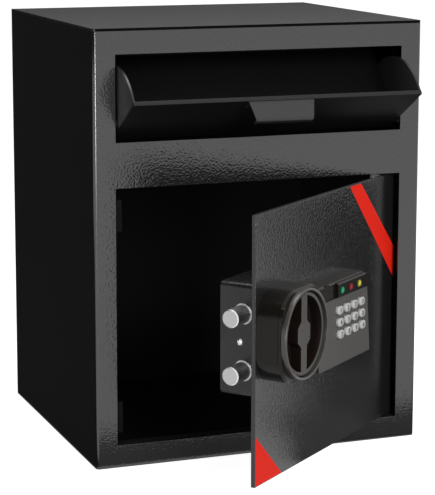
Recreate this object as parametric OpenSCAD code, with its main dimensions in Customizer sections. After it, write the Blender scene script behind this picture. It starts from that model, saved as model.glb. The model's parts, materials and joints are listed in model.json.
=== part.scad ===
// Deposit safe with a tip-out hopper above an electronically locked door.
// Millimetres. Origin: centre of the footprint, on the surface the safe stands on.
// The front face looks along -Y. The hopper and the door are drawn closed, then swung open
// to the angles of the rest pose by on_hopper() and on_door().

/* [Cabinet] */
// Outer width of the cabinet
cab_w = 400; // [370:1:480]
// Outer depth of the cabinet
cab_d = 350; // [330:1:440]
// Outer height of the cabinet
cab_h = 500; // [490:1:600]
// Thickness of the cabinet sheet
body_t = 3; // [2.5:0.5:4]
// Outer radius of the two upright front bends
bend_r = 4.5; // [4.5:0.5:8]
// Width of the front face beside the two openings
side_margin = 25.5; // [24:0.5:34]
// Height of the front face above the hopper opening
head_margin = 29; // [27:0.5:36]
// Height of the front face between the two openings
rail_h = 51.5; // [46:0.5:60]
// Height of the front face below the door opening
foot_margin = 26; // [22:0.5:32]
// Radius of the anchor holes in the floor and the back
anchor_r = 6; // [4:0.5:8]
// Distance between the floor anchors, left to right
anchor_x = 260; // [180:1:300]
// Distance between the floor anchors, front to back
anchor_y = 200; // [140:1:240]
// Distance between the two back anchors
back_anchor_x = 220; // [120:1:260]
// Height of the back anchors above the floor
back_anchor_z = 290; // [80:1:330]

/* [Door] */
// Angle that the door stands open at in the rest pose
door_angle = 39.5; // [10:0.5:90]
// Thickness of the door leaf
leaf_t = 5; // [4:0.5:7]
// Gap round the door leaf at its top, bottom and free edge
leaf_gap = 1.5; // [1:0.25:3]
// Clearance of the leaf's corner as it swings past the front plate
corner_clear = 0.75; // [0.5:0.25:1.5]
// Distance from the opening's hinge edge to the hinge axis
hinge_in = 24; // [22:0.5:28]
// Distance of the hinge axis behind the leaf's outer face
hinge_back = 18; // [17:0.5:22]
// Radius of the hinge pins
hinge_pin_r = 5; // [4:0.5:6]
// Height of each hinge block on the door
hinge_block_h = 24; // [16:1:40]
// Thickness of the hinge plates on the cabinet
hinge_plate_t = 4; // [3:0.5:6]
// Depth of the folded flange below and above the door opening
sill_depth = 15; // [10:0.5:24]
// Depth of the jamb that takes the bolts
jamb_depth = 46; // [42:1:70]

/* [Hopper] */
// Height of the hopper opening
hopper_mouth_h = 98; // [90:1:110]
// Angle that the hopper is tipped out by in the rest pose
hopper_angle = 60; // [20:1:62]
// Sheet thickness of the hopper
hopper_t = 2.5; // [2:0.5:3]
// Gap between the hopper and each side of its opening
hopper_gap = 2; // [1:0.25:4]
// Gap above the closed hopper
hopper_top_gap = 1.5; // [1.25:0.25:3]
// Gap below the closed hopper
hopper_foot_gap = 3; // [3:0.25:6]
// Depth of the folded lip along the hopper's top edge
lip_depth = 5; // [4:0.5:8]
// Height of the pivot above the lower edge of the hopper opening
pivot_up = 21; // [20:0.5:26]
// Distance of the pivot behind the front face
pivot_back = 12.5; // [11:0.5:14]
// Radius of the hopper's pivot pins
pivot_r = 4; // [3:0.5:5]
// Angle between the front panel and the tray behind it
tray_angle = 100; // [95:1:110]
// Length of the tray from the pivot to its back edge
tray_len = 98; // [85:1:105]
// Radius of the edge of the hopper's side plates
side_arc_r = 80; // [76:0.5:80]
// Distance of that edge's centre in front of the front face
side_arc_ahead = 2.5; // [1:0.5:5]
// Distance of that edge's centre below the pivot
side_arc_drop = 5.5; // [4:0.5:9]
// Width of the handle at its root
handle_w = 78; // [50:1:100]
// Width of the handle at its tip
handle_tip_w = 68; // [40:1:90]
// Reach of the handle in front of the panel
handle_reach = 24; // [16:0.5:32]
// Height of the turned-down edge of the handle
handle_drop = 9; // [6:0.5:14]
// Thickness of the handle
handle_t = 2.5; // [2:0.5:3]
// Distance between the handle's two rivets
rivet_pitch = 44; // [20:1:60]

/* [Chute] */
// Height of the hanging baffle
baffle_h = 34; // [30:1:36]
// Thickness of the rubber stops on the baffle
bumper_t = 3; // [2:0.5:4]
// Depth of the chute floor, front to back
chute_d = 190; // [150:1:210]
// Slope of the chute floor
chute_slope = 9; // [4:0.5:12]
// Sheet thickness of the chute and the baffle
chute_t = 2; // [1.5:0.5:3]
// Height of a tooth on the anti-fishing strip
tooth_h = 16; // [8:0.5:24]
// Number of teeth on the anti-fishing strip
tooth_n = 19; // [9:1:31]

/* [Bolt work] */
// Radius of the two locking bolts
bolt_r = 10; // [8:0.5:11]
// Distance between the bolts' axes
bolt_pitch = 62; // [52:1:66]
// Height of the middle between the bolts
bolt_mid_z = 176; // [160:1:200]
// Distance of the bolts' axes behind the door's outer face
bolt_back = 30.5; // [26:0.5:32]
// Travel of the bolts
bolt_travel = 16; // [12:0.5:18]
// Distance of the bolt box from the door's free edge
box_a = 27; // [24:0.5:32]
// Length of the bolt box along the door
box_len = 188; // [160:1:200]
// Height of the bolt box
box_h = 123; // [112:1:130]
// Depth of the bolt box behind the leaf
box_depth = 52.5; // [46:1:60]
// Sheet thickness of the bolt box
box_t = 1.5; // [1:0.25:2.5]
// Radius of the bolt box's bent corners
box_corner_r = 6; // [4:0.5:10]
// Thickness of the plate that guides the bolts
guide_t = 6; // [4:0.5:8]
// Radius of the drive cam
cam_r = 16; // [15:0.5:20]
// Radius of the crank pin on the drive cam
crank_r = 3; // [2:0.25:3.5]
// Travel of the pin that blocks the bolt work
block_travel = 5; // [3:0.5:6]

/* [Lock] */
// Distance of the knob's centre from the door's free edge
knob_a = 51; // [50:0.5:60]
// Height of the knob's centre
knob_z = 188; // [180:1:196]
// Half the width of the round end of the lock housing
drum_half = 50; // [50:0.5:54]
// Corner radius of the round end
drum_corner_r = 33; // [20:1:40]
// Depth of the round end
drum_depth = 29; // [26:0.5:34]
// Bevel round the front of the round end
rim_bevel = 2.5; // [1.5:0.25:3]
// Wall thickness of the lock housing
shell_t = 2.5; // [2:0.25:3.5]
// Outer radius of the collar round the knob
collar_r = 49.4; // [48:0.1:49.4]
// Wall of the collar
collar_wall = 3.2; // [2:0.1:4]
// Height of the collar
collar_h = 6.5; // [5:0.5:9]
// Depth of the knob
knob_depth = 17; // [14:0.5:18]
// How far the knob's face stands out beyond its collar, set back when negative
knob_proud = -4; // [-5:0.25:2]
// Width of the grip bar across the knob
bar_w = 13; // [10:0.5:18]
// Width of the grip bar's middle
bar_mid_w = 28; // [18:0.5:34]
// Depth of the two finger recesses
recess_depth = 13; // [8:0.5:13]
// Radius of the outer edge of the finger recesses
recess_r = 41; // [34:0.5:42]
// Radius of the knob's spindle
spindle_r = 6; // [5:0.25:7]
// Distance of the housing's far end from the door's free edge
wing_end_a = 228; // [222:1:250]
// Height of the lower edge of the housing's flat end
wing_z0 = 132; // [122:1:134]
// Height of the top edge of the housing's flat end
wing_z1 = 225; // [223:0.5:230]
// Height at which the keypad face ends and the hood begins
hood_z = 206.5; // [205:0.5:208]
// Depth of the keypad face at its lower edge
face_low_depth = 24; // [22:0.5:25]
// Depth of the keypad face at its upper edge
face_top_depth = 20; // [19:0.5:22]
// How far the hood stands out beyond the keypad face
hood_proud = 3.5; // [2:0.5:5]
// Thickness of the keypad plate
plate_t = 2; // [1.5:0.25:3]

/* [Keypad] */
// Pitch of the keys along a row
key_pitch_a = 18.4; // [16:0.1:20]
// Pitch of the rows of keys
key_pitch_z = 13.4; // [12:0.1:15]
// Distance of the first column of keys from the door's free edge
key_a0 = 153.5; // [148:0.5:158]
// Height of the top row above the keypad plate's lower edge
key_row_z = 60; // [56:0.5:62]
// Width of a key
key_w = 14; // [10:0.5:15]
// Height of a key
key_h = 9.6; // [8:0.2:11]
// How far a key stands out
key_proud = 3; // [2:0.25:4]
// Travel of a key
key_travel = 1.2; // [0.6:0.1:2]
// Pitch of the three status lights
led_pitch = 21.5; // [16:0.5:24]
// Width of a status light
led_w = 10.5; // [6:0.5:12]
// Height of a status light
led_h = 7.5; // [4:0.5:8]

/* [Hidden] */
$fn = 48;

// Clearances
fit = 0.05;
seat = 0.3;
slip = 0.5;
eps = 1;

// Cabinet and its openings
front_y = -cab_d / 2;
plate_back_y = front_y + body_t;
bend_clear = bend_r - body_t;
inner_x = cab_w / 2 - body_t;
inner_y = cab_d / 2 - body_t;
mouth_x = cab_w / 2 - side_margin;
hopper_z1 = cab_h - head_margin;
hopper_z0 = hopper_z1 - hopper_mouth_h;
door_z1 = hopper_z0 - rail_h;
door_z0 = foot_margin;

// Door
leaf_x0 = -mouth_x + leaf_gap;
corner_dx = sqrt(pow(hinge_in - corner_clear, 2) + pow(hinge_back - body_t, 2) - pow(hinge_back, 2));
leaf_w = 2 * mouth_x - leaf_gap - hinge_in + corner_dx;
leaf_z0 = door_z0 + leaf_gap;
leaf_z1 = door_z1 - leaf_gap;
hinge_x = mouth_x - hinge_in;
hinge_y = front_y + hinge_back;
hinge_a = hinge_x - leaf_x0;
hinge_plate_w = 2 * (hinge_pin_r + 10);
hinge_plate_d = hinge_back + hinge_pin_r + 8 - body_t;
hinge_block_w = 2 * (hinge_pin_r + 4);
hinge_pin_l = hinge_block_h + leaf_gap + body_t + hinge_plate_t + 1;
jamb_t = body_t;
jamb_hole_r = bolt_r + 1;
stop_w = 8;
stop_h = 36;

// Hopper
pivot_z = hopper_z0 + pivot_up;
pivot_y = front_y + pivot_back;
panel_x = mouth_x - hopper_gap;
panel_z0 = hopper_z0 + hopper_foot_gap;
panel_z1 = hopper_z1 - hopper_top_gap;
bracket_t = 3;
bracket_x = mouth_x + 3;
pin_out = 13;
tray_rest = tray_angle - hopper_angle;
baffle_z0 = cab_h - body_t - baffle_h;
baffle_y = pivot_y + (baffle_z0 - pivot_z) * tan(tray_rest) - bumper_t - seat;
baffle_x = panel_x - hopper_t - 3;

bracket_half = 14;
chute_flange = 14;
strip_w = 12;
tooth_pitch = 2 * inner_x / tooth_n;
baffle_flange = 14;
bumper_w = 30;
bumper_h = 12;
handle_down = 1;
handle_flange = 14;
handle_bend = handle_t + 1.5;
rivet_r = 2;
rivet_z = -8.5;

// Chute
chute_z = hopper_z0 - 7;

// Bolt work, measured along the door (a), into the door (w) and up (z)
bolt_z = [bolt_mid_z - bolt_pitch / 2, bolt_mid_z + bolt_pitch / 2];
box_z0 = bolt_mid_z + 2.5 - box_h / 2;
box_w1 = leaf_t + box_depth;
guide_a = box_a + box_t;
guide_margin = bolt_r + 5;
crank_throw = bolt_travel / 2;
cam_w = leaf_t + 4;
cam_t = 4;
bar_a = knob_a + crank_throw + crank_r + 1;
bar_t = 8;
spigot_r = bolt_r * 0.6;
arm_w = cam_w + cam_t + 1.5;
arm_t = 3;
tail_t = 4;
tail_h = 16;
tail_z1 = bolt_mid_z + 2;
block_r = 3;
block_a = bar_a + bar_t + 14;
tail_end_a = block_a + bolt_travel - block_r - slip;
lug_a0 = block_a + block_r + 3;
motor_r = 8;
motor_h = 30;
battery_a0 = box_a + box_len - 92;
battery_w = 78;
battery_h = 66;
battery_z0 = box_z0 + (box_h - battery_h) / 2;
battery_depth = 19;
cell_n = 4;
cell_r = 7.4;
cell_l = 70;
cell_pitch = battery_h / cell_n;
cover_lap = 4;
guide_foot = 6;
guide_foot_t = 3;
screw_r = 2;
head_r = 4;
side_screw_w = bolt_back + 3;
pillar_a = box_a + box_len - 9;
pillar_z = [box_z0 + 9, box_z0 + box_h - 9];
motor_z0 = tail_z1 + 8;
motor_foot_h = 10;
slot_z0 = knob_z + crank_throw - crank_r - slip;
slot_z1 = knob_z + crank_throw * sqrt(2) + crank_r + slip;

// Lock on the outside of the door
bore_r = collar_r - collar_wall;
knob_r = bore_r - 0.6;
knob_front = drum_depth + collar_h + knob_proud;
wing_a0 = knob_a + 20;
face_tilt = atan((face_low_depth - face_top_depth) / (hood_z - wing_z0));
plate_in = plate_t / cos(face_tilt);
hood_depth = face_top_depth + hood_proud;
flap_a0 = knob_a + drum_half + 2;
flap_a1 = key_a0 - 8;
flap_z1 = wing_z1 - 4;
flap_t = 2;
flap_axis_z = hood_z + 1.3;
flap_axis_t = face_top_depth - flap_t / 2;
hood_slant = 13;
window_a0 = flap_a1 + 3.5;
window_z0 = hood_z + 3;
window_h = 10;
led_a0 = window_a0 + led_w / 2 + 2.5;
led_z = window_z0 + window_h / 2;
board_t = 1.6;
board_depth = 10;
bush_r = spindle_r + 3;
hub_h = 9;
spindle_out = knob_front - knob_depth - 0.5 + 2;
cheek_t = 0.7;
cheek_depth = 6.5;
pointer_t = 1.5;
pointer_w = 21;
pointer_l = 11.5;
pointer_turn = 36;
pocket_depth = face_top_depth - flap_t - 0.5;
face_a0 = knob_a + drum_half + 0.5;
face_h = (hood_z - wing_z0) / cos(face_tilt);
window_t = 1.5;
window_a1 = wing_end_a - 12;
tab_w = 8;
tab_a = (flap_a0 + flap_a1) / 2 + 2;
cylinder_r = 5.5;
cylinder_a = tab_a;
cylinder_z = (hood_z + flap_z1) / 2;
stud_r = 2;
stud_in = 10;
stud_pillar_r = stud_r + 2.5;
stud_places = [
  [knob_a - 37, knob_z + 37], [knob_a - 37, knob_z - 37],
  [wing_end_a - 8, wing_z1 - 26], [face_a0 + 6, wing_z0 + 8]
];
board_a0 = stud_places[3][0] + stud_pillar_r + 1;
board_a1 = stud_places[2][0] - stud_pillar_r - 1;
cable_a = face_a0 + 50;
cable_z = bolt_mid_z;
cable_r = 6;

// Colours
c_body = [0.27, 0.27, 0.28];
c_door = [0.30, 0.30, 0.31];
c_inner = [0.16, 0.16, 0.17];
c_lock = [0.26, 0.25, 0.24];
c_steel = [0.62, 0.62, 0.63];
c_chrome = [0.85, 0.85, 0.87];

// Placing

// Turns a closed hopper about its pivot to the rest pose
module on_hopper() {
  translate([0, pivot_y, pivot_z])
    rotate([hopper_angle, 0, 0])
      translate([0, -pivot_y, -pivot_z])
        children();
}

// Swings the closed door to the rest pose; children are drawn in (a, w, z):
// a from the free edge, w into the cabinet from the outer face, z up
module on_door() {
  translate([hinge_x, hinge_y, 0])
    rotate([0, 0, door_angle])
      translate([leaf_x0 - hinge_x, front_y - hinge_y, 0])
        children();
}

// The chute's slope: local Y runs down it from the front plate, local Z stands on it
module on_chute() {
  translate([0, plate_back_y + chute_t * sin(chute_slope), chute_z])
    rotate([-chute_slope, 0, 0])
      children();
}

// A point on the door's outside, local Z pointing out of the door
module out_of_door(a, z, depth) {
  translate([a, -depth, z])
    rotate([90, 0, 0])
      children();
}

// A point behind the door, local Z pointing into the cabinet
module into_door(a, z, w) {
  translate([a, w, z])
    rotate([-90, 0, 0])
      children();
}

// The tilted plane of the keypad: local X along a, local Y up the face, local Z out of it
module on_face() {
  translate([0, -face_low_depth, wing_z0])
    rotate([90 - face_tilt, 0, 0])
      children();
}

// Flat shapes

// A slab with round corners whose top edge is bevelled by c
module bevelled_slab(w, h, r, t, c) {
  linear_extrude(t - c)
    rounded_rect(w, h, r);
  for (x = [r, w - r], y = [r, h - r])
    translate([x, y, t - c])
      cylinder(r1 = r, r2 = r - c, h = c);
  translate([w - r, 0, t - c])
    rotate([0, -90, 0])
      linear_extrude(w - 2 * r)
        polygon([[0, 0], [c, c], [c, h - c], [0, h]]);
  translate([0, r, t - c])
    rotate([-90, -90, 0])
      linear_extrude(h - 2 * r)
        polygon([[0, 0], [c, c], [c, w - c], [0, w]]);
}

module rounded_rect(w, h, r) {
  translate([r, 0])
    square([w - 2 * r, h]);
  translate([0, r])
    square([w, h - 2 * r]);
  for (x = [r, w - r], y = [r, h - r])
    translate([x, y])
      circle(r);
}

// A rectangle whose two front corners are round
module front_rounded(w, d, r) {
  translate([-w / 2, -d / 2 + r])
    square([w, d - r]);
  translate([-w / 2 + r, -d / 2])
    square([w - 2 * r, d / 2]);
  for (side = [-1, 1])
    translate([side * (w / 2 - r), -d / 2 + r])
      circle(r);
}

module slot_2d(w, h) {
  square([w - h, h], center = true);
  for (side = [-1, 1])
    translate([side * (w - h) / 2, 0])
      circle(h / 2);
}

// Cabinet

module cabinet_wrap() color(c_body)
  difference() {
    translate([0, 0, body_t])
      linear_extrude(cab_h - 2 * body_t)
        difference() {
          front_rounded(cab_w, cab_d, bend_r);
          translate([0, eps / 2 + body_t / 2])
            front_rounded(cab_w - 2 * body_t, cab_d + eps - body_t, bend_r - body_t);
        }
    translate([-mouth_x, front_y - eps, door_z0])
      cube([2 * mouth_x, body_t + 2 * eps, door_z1 - door_z0]);
    translate([-mouth_x, front_y - eps, hopper_z0])
      cube([2 * mouth_x, body_t + 2 * eps, hopper_mouth_h]);
  }

module roof_panel() color(c_body)
  translate([0, 0, cab_h - body_t])
    linear_extrude(body_t)
      front_rounded(cab_w, cab_d, bend_r);

module floor_panel() color(c_body)
  linear_extrude(body_t)
    difference() {
      front_rounded(cab_w, cab_d, bend_r);
      for (x = [-1, 1], y = [-1, 1])
        translate([x * anchor_x / 2, y * anchor_y / 2])
          circle(anchor_r);
    }

module back_panel() color(c_body)
  difference() {
    translate([-inner_x, inner_y, body_t])
      cube([2 * inner_x, body_t, cab_h - 2 * body_t]);
    for (x = [-1, 1])
      translate([x * back_anchor_x / 2, inner_y - eps, back_anchor_z])
        rotate([-90, 0, 0])
          cylinder(r = anchor_r, h = body_t + 2 * eps);
  }

// Upright channel behind the free edge: two holes take the bolts, two lugs stop the leaf
module strike_jamb() color(c_inner)
  difference() {
    union() {
      translate([-mouth_x - jamb_t, plate_back_y, door_z0])
        cube([jamb_t, jamb_depth, door_z1 - door_z0]);
      translate([-inner_x, plate_back_y + jamb_depth - jamb_t, door_z0])
        cube([inner_x - mouth_x, jamb_t, door_z1 - door_z0]);
      for (z = [leaf_z0 + 12, leaf_z1 - 12 - stop_h])
        translate([-mouth_x - eps, front_y + leaf_t + seat, z])
          cube([stop_w + eps, jamb_t, stop_h]);
    }
    for (z = bolt_z)
      translate([-mouth_x - jamb_t - eps, front_y + bolt_back, z])
        rotate([0, 90, 0])
          cylinder(r = jamb_hole_r, h = jamb_t + 2 * eps);
  }

// The space that a hinge pin and its plate need in the folded flanges
module hinge_notch(z, h) {
  translate([hinge_x - hinge_plate_w / 2 - slip, plate_back_y + sill_depth - body_t - eps, z])
    cube([hinge_plate_w + 2 * slip, body_t + 2 * eps, h]);
  translate([hinge_x, hinge_y, z - 2 * body_t])
    cylinder(r = hinge_pin_r + slip, h = h + 4 * body_t);
}

// Folded flange below the door opening; its inner edge turns down to the floor
module door_sill() color(c_body)
  difference() {
    translate([-mouth_x, plate_back_y, 0]) {
      translate([0, 0, door_z0 - body_t])
        cube([2 * mouth_x, sill_depth, body_t]);
      translate([0, sill_depth - body_t, body_t])
        cube([2 * mouth_x, body_t, door_z0 - 2 * body_t]);
    }
    hinge_notch(door_z0 - body_t - hinge_plate_t - slip, hinge_plate_t + slip);
  }

// Folded flange above the door opening; its inner edge turns up
module door_lintel() color(c_body)
  difference() {
    translate([-mouth_x, plate_back_y, door_z1]) {
      cube([2 * mouth_x, sill_depth, body_t]);
      translate([0, sill_depth - body_t, 0])
        cube([2 * mouth_x, body_t, 4 * body_t]);
    }
    hinge_notch(door_z1 + body_t, 4 * body_t);
  }

// Plate welded behind the front, bored for a hinge pin
module hinge_plate(z)
  difference() {
    translate([hinge_x - hinge_plate_w / 2, plate_back_y, z])
      cube([hinge_plate_w, hinge_plate_d, hinge_plate_t]);
    translate([hinge_x, hinge_y, z - eps])
      cylinder(r = hinge_pin_r + fit, h = hinge_plate_t + 2 * eps);
  }

module hinge_plate_upper() color(c_steel) hinge_plate(door_z1 + body_t);

module hinge_plate_lower() color(c_steel) hinge_plate(door_z0 - body_t - hinge_plate_t);

// Hopper and chute

// Two angle brackets behind the front plate, bored for the hopper's pins
module hopper_brackets() color(c_steel)
  for (side = [0, 1])
    mirror([side, 0, 0])
      difference() {
        union() {
          translate([bracket_x, plate_back_y, pivot_z - bracket_half])
            cube([bracket_t, pivot_back + bracket_half - body_t, 2 * bracket_half]);
          translate([bracket_x, plate_back_y, pivot_z - bracket_half])
            cube([inner_x - bend_clear - bracket_x, bracket_t, 2 * bracket_half]);
        }
        translate([bracket_x - eps, pivot_y, pivot_z])
          rotate([0, 90, 0])
            cylinder(r = pivot_r + fit, h = bracket_t + 2 * eps);
      }

// Sloping sheet under the hopper that leads the takings to the slot at the back
module chute_floor() color(c_inner)
  difference() {
    union() {
      on_chute()
        translate([-inner_x, 0, -chute_t])
          cube([2 * inner_x, chute_d, chute_t]);
      translate([-inner_x, plate_back_y, chute_z - chute_flange])
        cube([2 * inner_x, chute_t, chute_flange - chute_t]);
    }
    for (side = [-1, 1])
      translate([side * inner_x, plate_back_y, chute_z])
        cube([2 * bend_clear, 2 * bend_clear, 4 * chute_flange], center = true);
  }

// Row of pointed teeth across the edge of the chute
module anti_fishing_teeth() color(c_steel)
  on_chute()
    translate([0, chute_d - strip_w, 0])
      linear_extrude(chute_t) {
        translate([-inner_x, 0])
          square([2 * inner_x, strip_w]);
        for (i = [0 : tooth_n - 1])
          translate([-inner_x + i * tooth_pitch, strip_w])
            polygon([[0, 0], [tooth_pitch, 0], [tooth_pitch / 2, tooth_h]]);
      }

// Sheet hanging from the roof behind the hopper
module hopper_baffle() color(c_inner) {
  translate([-baffle_x, baffle_y - chute_t, baffle_z0])
    cube([2 * baffle_x, chute_t, baffle_h]);
  translate([-baffle_x, baffle_y - baffle_flange, baffle_z0 + baffle_h - chute_t])
    cube([2 * baffle_x, baffle_flange, chute_t]);
}

// Rubber blocks that the tray meets when the hopper is tipped out
module stop_bumpers() color([0.08, 0.08, 0.08])
  for (x = [-1, 1])
    translate([x * baffle_x * 0.7 - bumper_w / 2, baffle_y, baffle_z0])
      cube([bumper_w, bumper_t, bumper_h]);

// Front sheet of the hopper with its folded lip
module hopper_panel() color(c_door)
  on_hopper() {
    translate([-panel_x, front_y, panel_z0])
      cube([2 * panel_x, hopper_t, panel_z1 - panel_z0]);
    translate([-panel_x, front_y, panel_z1 - hopper_t])
      cube([2 * panel_x, lip_depth, hopper_t]);
  }

// Outline of a side plate round the pivot: y runs into the cabinet, z up
module side_outline()
  difference() {
    union() {
      intersection() {
        translate([-side_arc_ahead - pivot_back, -side_arc_drop])
          circle(side_arc_r, $fn = 96);
        rotate(90 - tray_angle)
          translate([-2 * pivot_back, -hopper_t])
            square([tray_len, cab_h]);
      }
      circle(pivot_r + 5);
    }
    translate([-pivot_back - cab_d, -cab_h / 2])
      square([cab_d + hopper_t, cab_h]);
    translate([-2 * pivot_back, panel_z1 - hopper_t - pivot_z])
      square([2 * pivot_back - pivot_back + lip_depth, hopper_t * 2]);
  }

module hopper_side(x)
  on_hopper()
    translate([x, pivot_y, pivot_z])
      rotate([90, 0, 90])
        linear_extrude(hopper_t)
          side_outline();

module hopper_side_left() color(c_door) hopper_side(-panel_x);

module hopper_side_right() color(c_door) hopper_side(panel_x - hopper_t);

// Sheet that holds the takings while the hopper is tipped out
module hopper_tray() color(c_inner)
  on_hopper()
    translate([-panel_x + hopper_t, pivot_y, pivot_z])
      rotate([90, 0, 90])
        linear_extrude(2 * (panel_x - hopper_t))
          difference() {
            rotate(90 - tray_angle)
              translate([-2 * pivot_back, -hopper_t])
                square([tray_len + 2 * pivot_back, hopper_t]);
            translate([-pivot_back - cab_d, -cab_h / 2])
              square([cab_d + hopper_t, cab_h]);
          }

// Side view of the handle: fixing flange, shelf and turned-down edge with a round bend
module handle_profile() {
  translate([-handle_t, -handle_flange])
    square([handle_t, handle_flange]);
  translate([-handle_reach + handle_bend, -handle_t])
    square([handle_reach - handle_bend, handle_t]);
  translate([-handle_reach, -handle_drop])
    square([handle_t, handle_drop - handle_bend]);
  translate([-handle_reach + handle_bend, -handle_bend])
    intersection() {
      difference() {
        circle(handle_bend);
        circle(handle_bend - handle_t);
      }
      translate([-handle_bend, 0])
        square(handle_bend);
    }
}

module hopper_handle() color(c_door)
  on_hopper()
    translate([0, front_y, panel_z1 - handle_down])
      difference() {
        intersection() {
          translate([-handle_w / 2, 0, 0])
            rotate([90, 0, 90])
              linear_extrude(handle_w)
                handle_profile();
          translate([0, 0, -handle_flange - eps])
            linear_extrude(handle_flange + 2 * eps)
              polygon([
                [-handle_w / 2, 0], [handle_w / 2, 0],
                [handle_tip_w / 2, -handle_reach], [-handle_tip_w / 2, -handle_reach]
              ]);
        }
        for (side = [-1, 1])
          translate([side * rivet_pitch / 2, -handle_t - eps, rivet_z])
            rotate([-90, 0, 0])
              cylinder(r = rivet_r + fit, h = handle_t + 2 * eps);
      }

// Two rivets that hold the handle; their shanks end at the panel's outer face
module handle_rivets() color(c_steel)
  on_hopper()
    for (side = [-1, 1])
      translate([side * rivet_pitch / 2, front_y, panel_z1 - handle_down + rivet_z])
        rotate([90, 0, 0]) {
          cylinder(r = rivet_r, h = handle_t);
          translate([0, 0, handle_t])
            cylinder(r1 = 2 * rivet_r, r2 = rivet_r, h = 1.2);
        }

module hopper_pivot_pins() color(c_steel)
  on_hopper()
    for (side = [0, 1])
      mirror([side, 0, 0])
        translate([panel_x, pivot_y, pivot_z])
          rotate([0, 90, 0]) {
            cylinder(r = pivot_r, h = pin_out);
            cylinder(r = pivot_r + 2, h = bracket_x - panel_x - slip);
          }

// Door

module door_leaf() color(c_door)
  on_door()
    difference() {
      translate([0, 0, leaf_z0])
        cube([leaf_w, leaf_t, leaf_z1 - leaf_z0]);
      out_of_door(knob_a, knob_z, -leaf_t - eps)
        cylinder(r = bush_r + fit, h = leaf_t + 2 * eps);
      out_of_door(cable_a, cable_z, -leaf_t - eps)
        cylinder(r = cable_r, h = leaf_t + 2 * eps);
      for (p = stud_places)
        out_of_door(p[0], p[1], -leaf_t - eps)
          cylinder(r = stud_r + fit, h = leaf_t + 2 * eps);
    }

// Block welded behind the leaf that holds a hinge pin
module hinge_block(z)
  on_door()
    difference() {
      translate([hinge_a - hinge_block_w / 2, leaf_t, z])
        cube([hinge_block_w, hinge_back - leaf_t, hinge_block_h]);
      translate([hinge_a, hinge_back, z - eps])
        cylinder(r = hinge_pin_r + fit, h = hinge_block_h + 2 * eps);
    }

module hinge_barrel(z)
  on_door()
    difference() {
      translate([hinge_a, hinge_back, z])
        cylinder(r = hinge_block_w / 2, h = hinge_block_h);
      translate([hinge_a, hinge_back, z - eps])
        cylinder(r = hinge_pin_r + fit, h = hinge_block_h + 2 * eps);
      translate([hinge_a - hinge_block_w, -eps, z - eps])
        cube([2 * hinge_block_w, leaf_t + eps, hinge_block_h + 2 * eps]);
    }

module hinge_block_upper() color(c_steel)
  union() {
    hinge_block(leaf_z1 - hinge_block_h);
    hinge_barrel(leaf_z1 - hinge_block_h);
  }

module hinge_block_lower() color(c_steel)
  union() {
    hinge_block(leaf_z0);
    hinge_barrel(leaf_z0);
  }

// One pin up and one pin down on the door's hinge axis
module hinge_pins() color(c_chrome)
  on_door() {
    translate([hinge_a, hinge_back, leaf_z1 - hinge_block_h])
      cylinder(r = hinge_pin_r, h = hinge_pin_l);
    translate([hinge_a, hinge_back, leaf_z0 + hinge_block_h - hinge_pin_l])
      cylinder(r = hinge_pin_r, h = hinge_pin_l);
  }

// Bolt work behind the door

// Folded cover over the bolt work: round corners, two holes for the bolts, a battery window
module bolt_box() color(c_door)
  on_door()
    difference() {
      translate([box_a, leaf_t, box_z0])
        rotate([90, 0, 0])
          mirror([0, 0, 1])
            difference() {
              linear_extrude(box_depth)
                rounded_rect(box_len, box_h, box_corner_r);
              translate([box_t, box_t, -eps])
                linear_extrude(box_depth - box_t + eps)
                  rounded_rect(box_len - 2 * box_t, box_h - 2 * box_t, box_corner_r - box_t);
            }
      for (z = bolt_z)
        translate([box_a - eps, bolt_back, z])
          rotate([0, 90, 0])
            cylinder(r = bolt_r + 1.5, h = box_t + 2 * eps);
      translate([box_a - eps, side_screw_w, bolt_mid_z])
        rotate([0, 90, 0])
          cylinder(r = screw_r + fit, h = box_t + 2 * eps);
      for (z = pillar_z)
        into_door(pillar_a, z, box_w1 - box_t - eps)
          cylinder(r = screw_r + fit, h = box_t + 2 * eps);
      translate([battery_a0, box_w1 - box_t - eps, battery_z0])
        cube([battery_w, box_t + 2 * eps, battery_h]);
    }

// Angle behind the leaf that guides the bolts
module bolt_guide() color(c_steel)
  on_door()
    difference() {
      union() {
        translate([guide_a, leaf_t, bolt_z[0] - guide_margin])
          cube([guide_t, bolt_back + guide_margin - leaf_t, bolt_pitch + 2 * guide_margin]);
        translate([guide_a, leaf_t, bolt_z[0] - guide_margin])
          cube([guide_t + guide_foot, guide_foot_t, bolt_pitch + 2 * guide_margin]);
      }
      for (z = bolt_z)
        translate([guide_a - eps, bolt_back, z])
          rotate([0, 90, 0])
            cylinder(r = bolt_r + fit, h = guide_t + 2 * eps);
      translate([guide_a - eps, side_screw_w, bolt_mid_z])
        rotate([0, 90, 0])
          cylinder(r = screw_r + fit, h = guide_t + 2 * eps);
    }

// A round-headed screw, its head resting at z = 0 and its shank pointing down
module screw(length, head_r) {
  translate([0, 0, -length])
    cylinder(r = screw_r, h = length);
  difference() {
    intersection() {
      cylinder(r = head_r, h = head_r);
      translate([0, 0, -head_r * 0.7])
        sphere(head_r * 1.22);
    }
    for (turn = [0, 90])
      rotate(turn)
        translate([-head_r * 0.6, -0.4, head_r * 0.25])
          cube([head_r * 1.2, 0.8, head_r]);
  }
}

// The box's screws and the studs that hold the lock housing through the leaf
module lock_screws() color(c_chrome)
  on_door() {
    translate([box_a, side_screw_w, bolt_mid_z])
      rotate([0, -90, 0])
        screw(box_t + guide_t, head_r);
    for (z = pillar_z)
      into_door(pillar_a, z, box_w1)
        screw(box_depth, head_r);
    for (p = stud_places)
      into_door(p[0], p[1], leaf_t)
        screw(leaf_t + stud_in, head_r);
  }

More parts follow.
